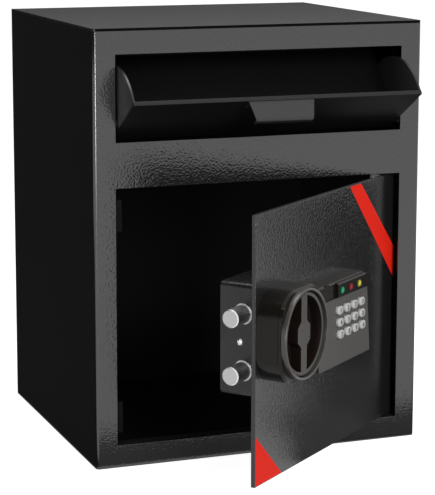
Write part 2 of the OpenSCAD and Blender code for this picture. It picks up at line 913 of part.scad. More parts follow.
// Tray for the cells, behind the window of the bolt box
module battery_box() color([0.12, 0.12, 0.13])
  on_door()
    difference() {
      translate([battery_a0, box_w1 - battery_depth, battery_z0])
        cube([battery_w, battery_depth, battery_h]);
      for (i = [0 : cell_n - 1])
        translate([battery_a0 + (battery_w - cell_l) / 2, box_w1, battery_z0 + cell_pitch * (i + 0.5)])
          rotate([0, 90, 0])
            cylinder(r = cell_r, h = cell_l);
    }

module battery_cover() color(c_inner)
  on_door()
    difference() {
      translate([battery_a0 - cover_lap, box_w1, battery_z0 - cover_lap])
        cube([battery_w + 2 * cover_lap, box_t, battery_h + 2 * cover_lap]);
      for (i = [0 : 4])
        translate([battery_a0 + battery_w * 0.3, box_w1 + box_t - 0.6, battery_z0 + 8 + 4 * i])
          cube([battery_w * 0.4, 0.6 + eps, 1.6]);
    }

// Small geared motor that drives the blocking pin, with its bracket on the leaf
module blocking_motor() color(c_steel)
  on_door()
    difference() {
      union() {
        translate([block_a, bolt_back, motor_z0])
          cylinder(r = motor_r, h = motor_h);
        translate([block_a - motor_r, leaf_t, motor_z0])
          cube([2 * motor_r, bolt_back - leaf_t, motor_foot_h]);
      }
      translate([block_a, bolt_back, motor_z0 - eps])
        cylinder(r = block_r + fit, h = block_travel + 8 + eps);
    }

module blocking_pin() color(c_chrome)
  on_door()
    translate([block_a, bolt_back, tail_z1 + slip])
      cylinder(r = block_r, h = motor_z0 - tail_z1 - slip + 6);

module bolt(z)
  on_door()
    translate([0, bolt_back, z])
      rotate([0, 90, 0]) {
        cylinder(r1 = bolt_r - 1, r2 = bolt_r, h = 1);
        translate([0, 0, 1])
          cylinder(r = bolt_r, h = bar_a - 1);
        translate([0, 0, bar_a])
          cylinder(r = spigot_r, h = bar_t);
      }

module bolt_upper() color(c_chrome) bolt(bolt_z[1]);

module bolt_lower() color(c_chrome) bolt(bolt_z[0]);

// Bar that carries both bolts, the slotted arm for the crank pin and the tail, whose lug is blocked
module bolt_carriage() color(c_steel)
  on_door()
    difference() {
      union() {
        translate([bar_a, arm_w, bolt_z[0] - spigot_r - 6])
          cube([bar_t, bolt_back + bolt_r - arm_w, bolt_pitch + 2 * spigot_r + 12]);
        translate([knob_a + crank_throw - crank_r - 5, arm_w, slot_z0 - 5])
          cube([bar_a - knob_a - crank_throw + crank_r + 5 + eps, arm_t, slot_z1 - slot_z0 + 10]);
        translate([bar_a, bolt_back - tail_t / 2, tail_z1 - tail_h])
          cube([tail_end_a - bar_a, tail_t, tail_h - block_travel - 1]);
        translate([lug_a0, bolt_back - tail_t / 2, tail_z1 - tail_h])
          cube([tail_end_a - lug_a0, tail_t, tail_h]);
      }
      for (z = bolt_z)
        translate([bar_a - eps, bolt_back, z])
          rotate([0, 90, 0])
            cylinder(r = spigot_r + fit, h = bar_t + 2 * eps);
      translate([knob_a + crank_throw - crank_r - slip, arm_w - eps, slot_z0])
        cube([2 * (crank_r + slip), arm_t + 2 * eps, slot_z1 - slot_z0]);
    }

// Spindle of the knob with the cam and its crank pin on the inside
module cam_spindle() color(c_steel)
  on_door() {
    into_door(knob_a, knob_z, -spindle_out)
      cylinder(r = spindle_r, h = spindle_out + cam_w + cam_t);
    into_door(knob_a, knob_z, cam_w)
      cylinder(r = cam_r, h = cam_t);
    into_door(knob_a + crank_throw, knob_z + crank_throw, cam_w)
      cylinder(r = crank_r, h = arm_w + arm_t - cam_w - seat);
  }

module spindle_bush() color([0.72, 0.6, 0.35])
  on_door()
    difference() {
      union() {
        out_of_door(knob_a, knob_z, -leaf_t - 2)
          cylinder(r = bush_r, h = leaf_t + 2);
        out_of_door(knob_a, knob_z, 0)
          cylinder(r = bush_r + 4, h = 2);
      }
      out_of_door(knob_a, knob_z, -leaf_t - 2 - eps)
        cylinder(r = spindle_r + fit, h = leaf_t + 4 + 2 * eps);
    }

// Lock on the outside of the door

module drum_outline(inset)
  translate([knob_a - drum_half + inset, knob_z - drum_half + inset])
    rounded_rect(2 * (drum_half - inset), 2 * (drum_half - inset), drum_corner_r - inset);

// A flat shape in (a, z) pushed out of the door from one depth to another
module from_door(depth0, depth1)
  translate([0, -depth0, 0])
    rotate([90, 0, 0])
      linear_extrude(depth1 - depth0)
        children();

// A profile in (depth, z) drawn out along the door from one place to another
module along_door(a0, a1)
  translate([a0, 0, 0])
    rotate([90, 0, 90])
      linear_extrude(a1 - a0)
        mirror([1, 0])
          children();

module wing_outer() {
  along_door(wing_a0, wing_end_a)
    polygon([
      [0, wing_z0 - 1], [face_low_depth - plate_in, wing_z0], [face_top_depth - plate_in, hood_z],
      [face_top_depth, hood_z], [face_top_depth, wing_z1 - 2], [face_top_depth - 2, wing_z1],
      [0, wing_z1 + 1]
    ]);
  along_door(flap_a1 + 1, wing_end_a)
    polygon([
      [0, hood_z], [hood_depth, hood_z + 1], [hood_depth, wing_z1 - 3],
      [hood_depth - 1.5, wing_z1 - 1.5], [0, wing_z1 + 1]
    ]);
}

module wing_cavity()
  along_door(wing_a0, wing_end_a - shell_t)
    polygon([
      [-eps, wing_z0 + shell_t], [face_low_depth - plate_in - shell_t, wing_z0 + shell_t],
      [face_top_depth - plate_in - shell_t, hood_z - shell_t], [pocket_depth - shell_t, hood_z - shell_t],
      [pocket_depth - shell_t, wing_z1 - shell_t], [-eps, wing_z1 - shell_t]
    ]);

// Grip area standing proud of the drum's free side
module cheek()
  from_door(cheek_depth, drum_depth - rim_bevel - slip)
    intersection() {
      drum_outline(-cheek_t);
      translate([knob_a - drum_half - cheek_t - eps, knob_z - drum_half + drum_corner_r - 6])
        square([drum_corner_r, 2 * (drum_half - drum_corner_r) + 23]);
    }

// Small raised wedge beside the collar that shows where the knob points
module pointer()
  from_door(drum_depth - rim_bevel, drum_depth + pointer_t)
    difference() {
      intersection() {
        drum_outline(0);
        translate([knob_a, knob_z])
          rotate(-pointer_turn)
            polygon([[-collar_r, pointer_w / 2], [-collar_r, -pointer_w / 2], [-collar_r - pointer_l, -pointer_w / 6]]);
      }
      translate([knob_a, knob_z])
        circle(collar_r + seat, $fn = 96);
    }

// Moulded housing: round end for the knob, flat end for the keypad, hood for the lights
module lock_housing() color(c_lock)
  on_door()
    difference() {
      union() {
        out_of_door(knob_a - drum_half, knob_z - drum_half, 0)
          bevelled_slab(2 * drum_half, 2 * drum_half, drum_corner_r, drum_depth, rim_bevel);
        cheek();
        pointer();
        wing_outer();
        for (p = stud_places)
          out_of_door(p[0], p[1], 0)
            cylinder(r = stud_pillar_r, h = pocket_depth - shell_t / 2);
      }
      from_door(-eps, drum_depth - shell_t)
        difference() {
          drum_outline(shell_t);
          for (p = stud_places)
            translate(p)
              circle(stud_pillar_r);
        }
      difference() {
        wing_cavity();
        for (p = stud_places)
          out_of_door(p[0], p[1], -2 * eps)
            cylinder(r = stud_pillar_r, h = drum_depth);
      }
      out_of_door(knob_a, knob_z, drum_depth - shell_t - eps)
        cylinder(r = bore_r, h = shell_t + 2 * eps, $fn = 96);
      for (p = stud_places)
        out_of_door(p[0], p[1], -eps)
          cylinder(r = stud_r + fit, h = stud_in + eps);
      on_face()
        translate([face_a0 + 6, 5, -plate_t - 4 * shell_t])
          cube([wing_end_a - face_a0 - 12, face_h - 10, 5 * shell_t]);
      from_door(hood_depth - window_t, hood_depth + eps)
        window_outline();
      for (i = [0 : 2])
        out_of_door(led_a0 + i * led_pitch, led_z, pocket_depth - shell_t - eps)
          linear_extrude(hood_depth)
            slot_2d(led_w + 2 * fit, led_h + 2 * fit);
      translate([flap_a0 - seat, -face_top_depth - eps, hood_z])
        cube([flap_a1 - flap_a0 + 2 * seat, face_top_depth - pocket_depth + eps, flap_z1 - hood_z + seat]);
      translate([tab_a - tab_w / 2 - seat, -face_top_depth - eps, flap_z1])
        cube([tab_w + 2 * seat, flap_t + seat + eps, wing_z1 + eps - flap_z1]);
      out_of_door(cylinder_a, cylinder_z, 0)
        cylinder(r = cylinder_r + fit, h = face_top_depth);
      translate([wing_end_a, -hood_depth - eps, hood_z])
        rotate([90, 0, 0])
          mirror([0, 0, 1])
            linear_extrude(hood_depth + 2 * eps)
              polygon([[0, 1], [eps, 1], [eps, wing_z1 - hood_z + 2], [-hood_slant, wing_z1 - hood_z + 2]]);
    }

module window_outline()
  polygon([
    [window_a0, window_z0], [window_a1, window_z0],
    [window_a1 - hood_slant * 0.6, window_z0 + window_h], [window_a0, window_z0 + window_h]
  ]);

module knob_collar() color([0.34, 0.33, 0.32])
  on_door()
    out_of_door(knob_a, knob_z, drum_depth)
      rotate_extrude($fn = 128)
        polygon([
          [bore_r, 0], [collar_r, 0], [collar_r, collar_h - 1.6],
          [collar_r - 0.5, collar_h - 0.5], [collar_r - 1.6, collar_h], [bore_r, collar_h - 0.8]
        ]);

module grip_bar() {
  square([bar_w, 2 * knob_r], center = true);
  polygon([
    for (i = [0 : 7])
      [
        bar_mid_w / 2 * (i == 0 || i == 3 || i == 4 || i == 7 ? 1 : bar_w / bar_mid_w) * (i > 1 && i < 6 ? -1 : 1),
        bar_mid_w / 2 * (i == 0 || i == 3 || i == 4 || i == 7 ? 0.55 : 1) * (i < 4 ? 1 : -1)
      ]
  ]);
}

// Knob with two finger recesses beside an upright grip bar
module knob() color([0.36, 0.35, 0.34])
  on_door()
    out_of_door(knob_a, knob_z, knob_front - knob_depth)
      difference() {
        union() {
          rotate_extrude($fn = 128)
            polygon([
              [0, 0], [knob_r, 0], [knob_r, knob_depth - 1.4], [knob_r - 1.4, knob_depth],
              [recess_r + 1.6, knob_depth], [recess_r, knob_depth - 0.8], [0, knob_depth - 0.8]
            ]);
          translate([0, 0, -hub_h])
            cylinder(r = spindle_r + 3, h = hub_h + eps);
        }
        translate([0, 0, knob_depth - recess_depth])
          linear_extrude(recess_depth + eps)
            difference() {
              circle(recess_r, $fn = 96);
              grip_bar();
            }
        translate([0, 0, -hub_h - eps])
          cylinder(r = spindle_r + fit, h = hub_h + 2 + eps);
      }

module keypad_plate() color([0.40, 0.39, 0.38])
  on_door()
    on_face()
      difference() {
        translate([face_a0, 0, -plate_t])
          cube([wing_end_a - face_a0, face_h - seat, plate_t]);
        for (i = [0 : 11])
          translate([key_a0 + (i % 4) * key_pitch_a, key_row_z - floor(i / 4) * key_pitch_z, -plate_t - eps])
            linear_extrude(plate_t + 2 * eps)
              slot_2d(key_w + 2 * seat, key_h + 2 * seat);
      }

// One key: domed oval cap, and a flange that keeps it behind the plate
module key(i) color([0.80, 0.80, 0.79])
  on_door()
    on_face()
      translate([key_a0 + (i % 4) * key_pitch_a, key_row_z - floor(i / 4) * key_pitch_z, 0]) {
        translate([0, 0, -plate_t - seat])
          linear_extrude(plate_t + seat + key_proud - 0.6)
            slot_2d(key_w, key_h);
        translate([0, 0, key_proud - 0.6])
          linear_extrude(0.6)
            slot_2d(key_w - 1.2, key_h - 1.2);
        translate([0, 0, -plate_t - seat - 1.4])
          linear_extrude(1.4)
            slot_2d(key_w + 2, key_h + 2);
      }

module key_1() key(0);
module key_2() key(1);
module key_3() key(2);
module key_clear() key(3);
module key_4() key(4);
module key_5() key(5);
module key_6() key(6);
module key_0() key(7);
module key_7() key(8);
module key_8() key(9);
module key_9() key(10);
module key_enter() key(11);

module status_window() color([0.07, 0.08, 0.07])
  on_door()
    difference() {
      from_door(hood_depth - window_t, hood_depth - 0.2)
        window_outline();
      for (i = [0 : 2])
        out_of_door(led_a0 + i * led_pitch, led_z, hood_depth - window_t - eps)
          linear_extrude(window_t + 2 * eps)
            slot_2d(led_w + 2 * fit, led_h + 2 * fit);
    }

// A status light: an oval light guide with a stepped front
module led(i)
  on_door()
    out_of_door(led_a0 + i * led_pitch, led_z, pocket_depth - shell_t) {
      linear_extrude(hood_depth - pocket_depth + shell_t)
        slot_2d(led_w, led_h);
      linear_extrude(hood_depth - pocket_depth + shell_t + 0.6)
        slot_2d(led_w - 1.6, led_h - 1.6);
    }

module led_green() color([0.1, 0.75, 0.35]) led(0);
module led_red() color([0.9, 0.15, 0.2]) led(1);
module led_yellow() color([0.85, 0.85, 0.2]) led(2);

// Barrel of the emergency key lock under the flap
module key_cylinder() color([0.7, 0.62, 0.4])
  on_door()
    difference() {
      out_of_door(cylinder_a, cylinder_z, 0)
        cylinder(r = cylinder_r, h = pocket_depth - seat);
      translate([cylinder_a - 0.6, -pocket_depth - eps, cylinder_z - 3.4])
        cube([1.2, 5, 6.8]);
    }

// Flap over the emergency key lock, hinged along its lower edge
module override_flap() color([0.30, 0.29, 0.28])
  on_door() {
    translate([flap_a0, -flap_axis_t - flap_t / 2, flap_axis_z])
      cube([flap_a1 - flap_a0, flap_t, flap_z1 - flap_axis_z]);
    translate([flap_a0, -flap_axis_t, flap_axis_z])
      rotate([0, 90, 0])
        cylinder(r = flap_t / 2, h = flap_a1 - flap_a0);
    translate([tab_a - tab_w / 2, -flap_axis_t - flap_t / 2, flap_z1 - eps])
      cube([tab_w, flap_t, wing_z1 - flap_z1 + eps]);
  }

// Board behind the keys on its four spacers
module circuit_board() color([0.1, 0.35, 0.2])
  on_door() {
    translate([board_a0, -board_depth - board_t, wing_z0 + 6])
      cube([board_a1 - board_a0, board_t, face_h - 14]);
    for (a = [board_a0 + 4, board_a1 - 4], z = [wing_z0 + 10, hood_z - 12])
      out_of_door(a, z, 0)
        cylinder(r = 2.5, h = board_depth);
  }

cabinet_wrap();
roof_panel();
floor_panel();
back_panel();
strike_jamb();
door_sill();
door_lintel();
hinge_plate_upper();
hinge_plate_lower();
hopper_brackets();
chute_floor();
anti_fishing_teeth();
hopper_baffle();
stop_bumpers();
hopper_panel();
hopper_side_left();
hopper_side_right();
hopper_tray();
hopper_handle();
handle_rivets();
hopper_pivot_pins();
door_leaf();
hinge_block_upper();
hinge_block_lower();
hinge_pins();
bolt_box();
bolt_guide();
lock_screws();
battery_box();
battery_cover();
blocking_motor();
lock_housing();
knob_collar();
keypad_plate();
status_window();
led_green();
led_red();
led_yellow();
key_cylinder();
circuit_board();
spindle_bush();
bolt_upper();
bolt_lower();
bolt_carriage();
blocking_pin();
knob();
cam_spindle();
override_flap();
key_1();
key_2();
key_3();
key_4();
key_5();
key_6();
key_7();
key_8();
key_9();
key_0();
key_clear();
key_enter();
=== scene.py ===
# %% [markdown]
# # A deposit safe, dressed for the camera
# The solid parts of the safe come from a CAD frame that is already the right size and in the right
# place. This lesson adds what CAD leaves out: rounded edges that catch the light, hammered paint,
# moulded plastic, domed keys with their figures, and a studio to look at them in.

import json
import math

import bmesh
import bpy
from mathutils import Matrix, Vector


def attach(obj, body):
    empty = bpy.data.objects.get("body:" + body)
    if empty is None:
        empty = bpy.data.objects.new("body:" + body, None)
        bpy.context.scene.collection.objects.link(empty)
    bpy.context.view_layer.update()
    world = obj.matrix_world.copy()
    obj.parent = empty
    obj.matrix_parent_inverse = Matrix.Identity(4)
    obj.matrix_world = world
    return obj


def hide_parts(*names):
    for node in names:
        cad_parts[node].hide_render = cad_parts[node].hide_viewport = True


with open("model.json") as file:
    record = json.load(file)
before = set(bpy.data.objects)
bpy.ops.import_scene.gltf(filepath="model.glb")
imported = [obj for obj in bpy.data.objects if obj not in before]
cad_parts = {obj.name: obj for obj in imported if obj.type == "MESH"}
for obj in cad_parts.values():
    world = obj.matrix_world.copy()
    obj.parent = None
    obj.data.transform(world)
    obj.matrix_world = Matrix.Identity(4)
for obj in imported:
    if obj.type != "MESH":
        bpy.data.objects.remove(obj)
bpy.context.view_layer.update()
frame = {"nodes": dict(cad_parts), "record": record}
nodes = frame["nodes"]
print("CAD nodes:", len(nodes))

# %% [markdown]
# ## The places that the lesson keeps coming back to
# The door stands open, so anything fixed to it is easiest to draw in the door's own directions: a
# along the leaf from its free edge, w into the cabinet and z up. Each point could be worked out by
# hand, but one matrix turns all of them into the frame's metres. The keypad leans back a little
# from its foot to its head, so it has a matrix of its own, built on the door's.

# %% The directions of the door and the keypad
MM = 0.001
SCALE_MM = Matrix.Scale(MM, 4)

FRONT_Y = -175.0
LEAF_X0 = -173.0
HINGE = Vector((150.5, -157.0, 0.0))
DOOR_ANGLE = math.radians(39.5)
ON_DOOR = (
    SCALE_MM
    @ Matrix.Translation(HINGE)
    @ Matrix.Rotation(DOOR_ANGLE, 4, "Z")
    @ Matrix.Translation(Vector((LEAF_X0, FRONT_Y, 0.0)) - HINGE)
)

# how far the keypad stands out of the door at its foot and its head, and how high these are
PLATE_FOOT_T, PLATE_HEAD_T = 24.0, 20.0
PLATE_FOOT_Z, PLATE_HEAD_Z = 132.0, 206.5
LEAN = math.atan((PLATE_FOOT_T - PLATE_HEAD_T) / (PLATE_HEAD_Z - PLATE_FOOT_Z))
ON_KEYPAD = (
    ON_DOOR
    @ Matrix.Translation((0.0, -PLATE_FOOT_T, PLATE_FOOT_Z))
    @ Matrix.Rotation(math.radians(90.0) - LEAN, 4, "X")
)
print("door's free edge at the floor:", ON_DOOR @ Vector((0, 0, 0)))

# %% [markdown]
# ## Selecting on purpose
# Operators act on everything that is selected, and loading the frame leaves its nodes selected. So
# each piece begins with a clean slate, and edit mode picks points, edges and faces by place or by
# normal. Code could write the meshes out directly, but operators show the steps of work by hand.

# %% Small helpers for working with operators


def only(piece):
    """Makes piece the one selected and active object."""
    bpy.ops.object.select_all(action="DESELECT")
    piece.select_set(True)
    bpy.context.view_layer.objects.active = piece
    return piece


def place(piece, matrix):
    """Moves the mesh, not the object, so that the object's origin stays at the frame's origin."""
    only(piece)
    bpy.ops.object.transform_apply(location=True, rotation=True, scale=True)
    piece.data.transform(matrix)
    piece.data.update()
    return piece


def pick(piece, kind, test):
    """In edit mode: selects only the points, edges or faces that pass the test."""
    bpy.ops.mesh.select_all(action="DESELECT")
    mesh = bmesh.from_edit_mesh(piece.data)
    for item in getattr(mesh, kind):
        if test(item):
            item.select_set(True)
    mesh.select_flush_mode()
    bmesh.update_edit_mesh(piece.data)


def finish_piece(piece, material, body, smooth_deg):
    """Gives a finished mesh its shading, material and body."""
    only(piece)
    bpy.ops.object.shade_smooth_by_angle(angle=math.radians(smooth_deg))
    piece.data.materials.clear()
    piece.data.materials.append(material)
    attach(piece, body)
    return piece


print("selected before the first piece:", len(bpy.context.selected_objects))

# %% [markdown]
# ## Working with nodes
# The paint, the plastic and the metal are each a node group: a small machine with named inputs that
# is built once and then used in many materials. All three end in the same way, with a colour times
# a shade, a gloss plus a small change, and a bump, so one helper closes them.

# %% Helpers for groups and nodes
SURFACE = [("Color", "Color"), ("Roughness", "Float"), ("Normal", "Vector")]


def new_group(name, inputs):
    """A surface group with float or colour inputs; returns it and its two end nodes."""
    group = bpy.data.node_groups.new(name, "ShaderNodeTree")
    for socket, kind, value in inputs:
        made = group.interface.new_socket(socket, in_out="INPUT", socket_type="NodeSocket" + kind)
        made.default_value = value
    for socket, kind in SURFACE:
        group.interface.new_socket(socket, in_out="OUTPUT", socket_type="NodeSocket" + kind)
    start = group.nodes.new("NodeGroupInput")
    end = group.nodes.new("NodeGroupOutput")
    return group, start, end


def add_node(tree, kind, links=None, **values):
    """A node with its settings; links maps an input's name or number to an output socket."""
    made = tree.nodes.new("ShaderNode" + kind)
    for key, value in values.items():
        if hasattr(made, key):
            setattr(made, key, value)
        else:
            made.inputs[key.replace("_", " ")].default_value = value
    for key, output in (links or {}).items():
        tree.links.new(output, made.inputs[key])
    return made


print("each group gives:", [socket for socket, kind in SURFACE])

# %% Helpers for what the groups have in common
MIDDLE = {"From_Min": 0.3, "From_Max": 0.7}


def spread(tree, value, low, high, **span):
    """Stretches a value to run from low to high; span says which part of the value counts."""
    return add_node(tree, "MapRange", {"Value": value}, To_Min=low, To_Max=high, **span).outputs[0]


def close_group(group, start, end, colour, shade, change, bump):
    """Wires the three outputs from the group's colour and gloss inputs."""
    shaded = add_node(
        group, "VectorMath", {0: start.outputs[colour], "Scale": shade}, operation="SCALE"
    )
    rough = add_node(group, "Math", {0: change, 1: start.outputs["Gloss"]}, operation="ADD")
    group.links.new(shaded.outputs[0], end.inputs["Color"])
    group.links.new(rough.outputs[0], end.inputs["Roughness"])
    group.links.new(bump.outputs[0], end.inputs["Normal"])
    print("group:", group.name, "nodes:", len(group.nodes))


print("the part of a noise that counts:", MIDDLE)

# %% [markdown]
# ## Hammered powder coat
# The cabinet and door have a charcoal powder coat with a fine orange-peel surface: soft bumps about
# two millimetres across. A picture of it would have to be laid out over every piece and would blur
# close up. Noise and rounded cells need neither, and the group's inputs let the front, the smoother
# roof and the dark inside share it with their own values.

# %% A node group for the powder coat
PEEL_HEIGHT = 0.0006
PEEL_CELLS = 0.45

coat_group, coat_in, coat_out = new_group(
    "hammered coat",
    [
        ("Paint", "Color", (0.08, 0.08, 0.085, 1)),
        ("Bumps per metre", "Float", 420.0),
        ("Depth", "Float", 0.35),
        ("Gloss", "Float", 0.4),
    ],
)
coords = add_node(coat_group, "TexCoord")
fine = {"Vector": coords.outputs["Object"], "Scale": coat_in.outputs["Bumps per metre"]}
peel = add_node(coat_group, "TexNoise", fine, Detail=2.0, Roughness=0.45)
cells = add_node(coat_group, "TexVoronoi", fine, feature="SMOOTH_F1", Smoothness=0.8)
height = add_node(
    coat_group, "Mix", {2: peel.outputs["Fac"], 3: cells.outputs["Distance"]}, Factor=PEEL_CELLS
)
bump = add_node(
    coat_group, "Bump",
    {"Strength": coat_in.outputs["Depth"], "Height": height.outputs[0]}, Distance=PEEL_HEIGHT,
)
# a very slow change of tone, as paint of uneven thickness has, and a darker speck between bumps
slow = {"Vector": coords.outputs["Object"]}
cloud = add_node(coat_group, "TexNoise", slow, Scale=9.0, Detail=1.0)
tone = spread(coat_group, cloud.outputs["Fac"], 0.88, 1.14)
speck = spread(coat_group, height.outputs[0], 0.82, 1.2, From_Min=0.25, From_Max=0.75)
shade = add_node(coat_group, "Math", {0: tone, 1: speck}, operation="MULTIPLY").outputs[0]
change = spread(coat_group, peel.outputs["Fac"], -0.05, 0.05, **MIDDLE)
close_group(coat_group, coat_in, coat_out, "Paint", shade, change, bump)

# %% [markdown]
# ## Moulded plastic
# The lock is moulded in a warm dark grey. Its skin has a spark-eroded grain of about half a
# millimetre, which spreads the highlight without showing as a pattern from a step away. Cut into
# the mesh it would take millions of faces, so a bump made from fine noise stands for it.

# %% A node group for the moulded grain
GRAIN_HEIGHT = 0.0002

grain_group, grain_in, grain_out = new_group(
    "moulded grain",
    [
        ("Plastic", "Color", (0.1, 0.09, 0.085, 1)),
        ("Grains per metre", "Float", 1800.0),
        ("Depth", "Float", 0.25),
        ("Gloss", "Float", 0.42),
    ],
)
coords = add_node(grain_group, "TexCoord")
fine = {"Vector": coords.outputs["Object"], "Scale": grain_in.outputs["Grains per metre"]}
pits = add_node(grain_group, "TexNoise", fine, Detail=3.0)
bump = add_node(
    grain_group, "Bump",
    {"Strength": grain_in.outputs["Depth"], "Height": pits.outputs["Fac"]}, Distance=GRAIN_HEIGHT,
)
shade = spread(grain_group, pits.outputs["Fac"], 0.9, 1.1, **MIDDLE)
change = spread(grain_group, pits.outputs["Fac"], -0.04, 0.04, **MIDDLE)
close_group(grain_group, grain_in, grain_out, "Plastic", shade, change, bump)

# %% [markdown]
# ## Turned and plated metal
# Chrome bolts and zinc-plated brackets are never perfect mirrors. Fine lines left by turning or
# rolling break the reflection up. A low, even roughness would look like glass, so noise that is
# pressed flat into level lines gives a streaked roughness and a faint bump.

# %% A node group for worked metal
LINES_PER_METRE = 160.0
LINE_HEIGHT = 0.0002
FLATTENING = (1.0, 1.0, 14.0)

metal_group, metal_in, metal_out = new_group(
    "worked metal",
    [
        ("Metal", "Color", (0.7, 0.7, 0.7, 1)),
        ("Streak", "Float", 0.08),
        ("Gloss", "Float", 0.2),
    ],
)
coords = add_node(metal_group, "TexCoord")
stretch = add_node(metal_group, "Mapping", {"Vector": coords.outputs["Object"]})
stretch.inputs["Scale"].default_value = FLATTENING
lines = add_node(
    metal_group, "TexNoise", {"Vector": stretch.outputs[0]}, Scale=LINES_PER_METRE, Detail=4.0
)
shade = spread(metal_group, lines.outputs["Fac"], 0.93, 1.05, **MIDDLE)
change = add_node(
    metal_group, "Math", {0: lines.outputs["Fac"], 1: metal_in.outputs["Streak"]},
    operation="MULTIPLY",
).outputs[0]
bump = add_node(
    metal_group, "Bump", {"Height": lines.outputs["Fac"]}, Strength=0.08, Distance=LINE_HEIGHT
)
close_group(metal_group, metal_in, metal_out, "Metal", shade, change, bump)

# %% [markdown]
# ## One material for each finish
# Every material is the same short chain: a group for the surface and a Principled shader. Numbers
# that are the same all over the surface stay on the shader's own sockets. Three short functions say
# which group a finish is made from, so that a new one is a single line.

# %% A material from a group


def make_material(name, group, group_values, **shader_values):
    """A material from a surface group and a Principled shader."""
    material = bpy.data.materials.new(name)
    material.use_nodes = True
    tree = material.node_tree
    shader = tree.nodes["Principled BSDF"]
    surface = tree.nodes.new("ShaderNodeGroup")
    surface.node_tree = group
    for key, value in group_values.items():
        surface.inputs[key].default_value = value
    tree.links.new(surface.outputs["Color"], shader.inputs["Base Color"])
    tree.links.new(surface.outputs["Roughness"], shader.inputs["Roughness"])
    tree.links.new(surface.outputs["Normal"], shader.inputs["Normal"])
    for key, value in shader_values.items():
        shader.inputs[key.replace("_", " ")].default_value = value
    return material


print("surface groups:", [group.name for group in bpy.data.node_groups])

# %% Paint, plastic and metal


def coat(name, paint, bumps=420.0, depth=0.35, gloss=0.42, level=0.5):
    """Powder coat; level is how strongly it reflects."""
    values = {"Paint": (*paint, 1), "Bumps per metre": bumps, "Depth": depth, "Gloss": gloss}
    return make_material(name, coat_group, values, Specular_IOR_Level=level)


def plastic(name, colour, gloss=0.42, depth=0.25, level=0.5, **shader_values):
    """Moulded plastic, and other smooth things that are not metal."""
    values = {"Plastic": (*colour, 1), "Depth": depth, "Gloss": gloss}
    return make_material(name, grain_group, values, Specular_IOR_Level=level, **shader_values)


def metal(name, colour, gloss, streak):
    """Turned, rolled or plated metal."""
    values = {"Metal": (*colour, 1), "Gloss": gloss, "Streak": streak}
    return make_material(name, metal_group, values, Metallic=1.0)


print("kinds of finish:", [kind.__name__ for kind in (coat, plastic, metal)])

# %% [markdown]
# ## The paints
# One powder coat covers the whole safe: thick and glossy on the front and the door, dull on the
# roof. Each place has its own values of the same group, and its own colour too, set to the light and
# shade that falls there. The roof, the bolt box, the hopper's handle and most of all its cheeks are
# lighter, which is painted light. The hopper's panel, the inside, the chute and the roof's seam are
# darker, down to near black, which is painted shade.

# %% Mix the paints
CHARCOAL = (0.012, 0.012, 0.0125)
HAMMERED = 430.0

coat_front = coat("coat front", CHARCOAL, bumps=HAMMERED, depth=0.62, gloss=0.13, level=1.0)
coat_door = coat("coat door", CHARCOAL, bumps=HAMMERED, depth=0.55, gloss=0.14, level=0.6)
coat_bend = coat("coat bend", CHARCOAL, bumps=HAMMERED, depth=0.04, gloss=0.16, level=1.0)
# the bolt box's paint is lighter than the door's: painted light
box_coat_painted_light = coat(
    "coat bolt box painted light", (0.02, 0.02, 0.021), bumps=HAMMERED, depth=0.4, gloss=0.28, level=0.42
)
# the roof's paint is lighter than the front's: painted light
roof_coat_painted_light = coat("coat roof painted light", (0.0185, 0.0185, 0.0192), depth=0.15, gloss=0.5)
# the hopper's cheeks are much lighter: painted light
cheek_coat_painted_light = coat("coat hopper cheek painted light", (0.045, 0.045, 0.047), depth=0.15, gloss=0.4)
# the hopper's handle is lighter: painted light
handle_coat_painted_light = coat("coat hopper", (0.024, 0.024, 0.025), depth=0.15, gloss=0.38)
# darker, with a weaker reflection: painted shade on the hopper's panel, which faces down, and on the
# cheeks' rims
panel_coat_painted_shade = coat(
    "coat hopper panel painted shade", (0.009, 0.009, 0.0094), depth=0.15, gloss=0.38, level=0.35
)
# darker: painted shade inside the cabinet
inside_coat_painted_shade = coat("coat inside painted shade", (0.009, 0.009, 0.0095), depth=0.2, gloss=0.6, level=0.2)
# near black: painted shade in the chute, the hopper's tray and along the strike jamb
chute_coat_painted_shade = coat("coat chute painted shade", (0.004, 0.004, 0.0042), depth=0.2, gloss=0.6, level=0.1)
# near black: a painted shadow along the roof's front edge, where the seam is
seam_painted_shadow = coat("coat seam painted shadow", (0.002, 0.002, 0.002), depth=0.1, gloss=0.7, level=0.05)
print("paints:", len(bpy.data.materials))

# %% [markdown]
# ## The plastics and the metals
# The lock's shell, rim, collar and face are separate mouldings with greys of their own, and the
# bolts are polished along their sides and turned at their ends. All are set against each other, one
# line for each.

# %% Mix the plastics
lock_grey = plastic("lock grey", (0.009, 0.0073, 0.006), gloss=0.2, level=0.21)
lock_rim = plastic("lock rim", (0.042, 0.038, 0.034), gloss=0.26, level=0.4)
lock_collar = plastic("lock collar", (0.058, 0.053, 0.048), gloss=0.24, level=0.55)
lock_face = plastic("lock face", (0.055, 0.051, 0.047), gloss=0.42)
# near black: painted shade in the knob's finger recesses
recess_painted_shade = plastic("lock recess painted shade", (0.008, 0.005, 0.004), gloss=0.6, level=0.15)
key_silver = plastic("key silver", (0.5, 0.5, 0.495), gloss=0.25, depth=0.05, Coat_Weight=0.4)
figure_ink = plastic("figure ink", (0.06, 0.06, 0.065), gloss=0.5, depth=0.1)
window_black = plastic("window black", (0.004, 0.006, 0.004), gloss=0.3, depth=0.02, level=0.12)
rubber = plastic("stop rubber", (0.02, 0.02, 0.02), gloss=0.75)
cell_black = plastic("cell tray black", (0.02, 0.02, 0.021), gloss=0.5)
board_green = plastic("board green", (0.02, 0.12, 0.05), gloss=0.3, depth=0.1)
film_red = plastic("film red", (0.86, 0.022, 0.01), gloss=0.45, depth=0.03, level=0.08)
print("paints and plastics:", len(bpy.data.materials))

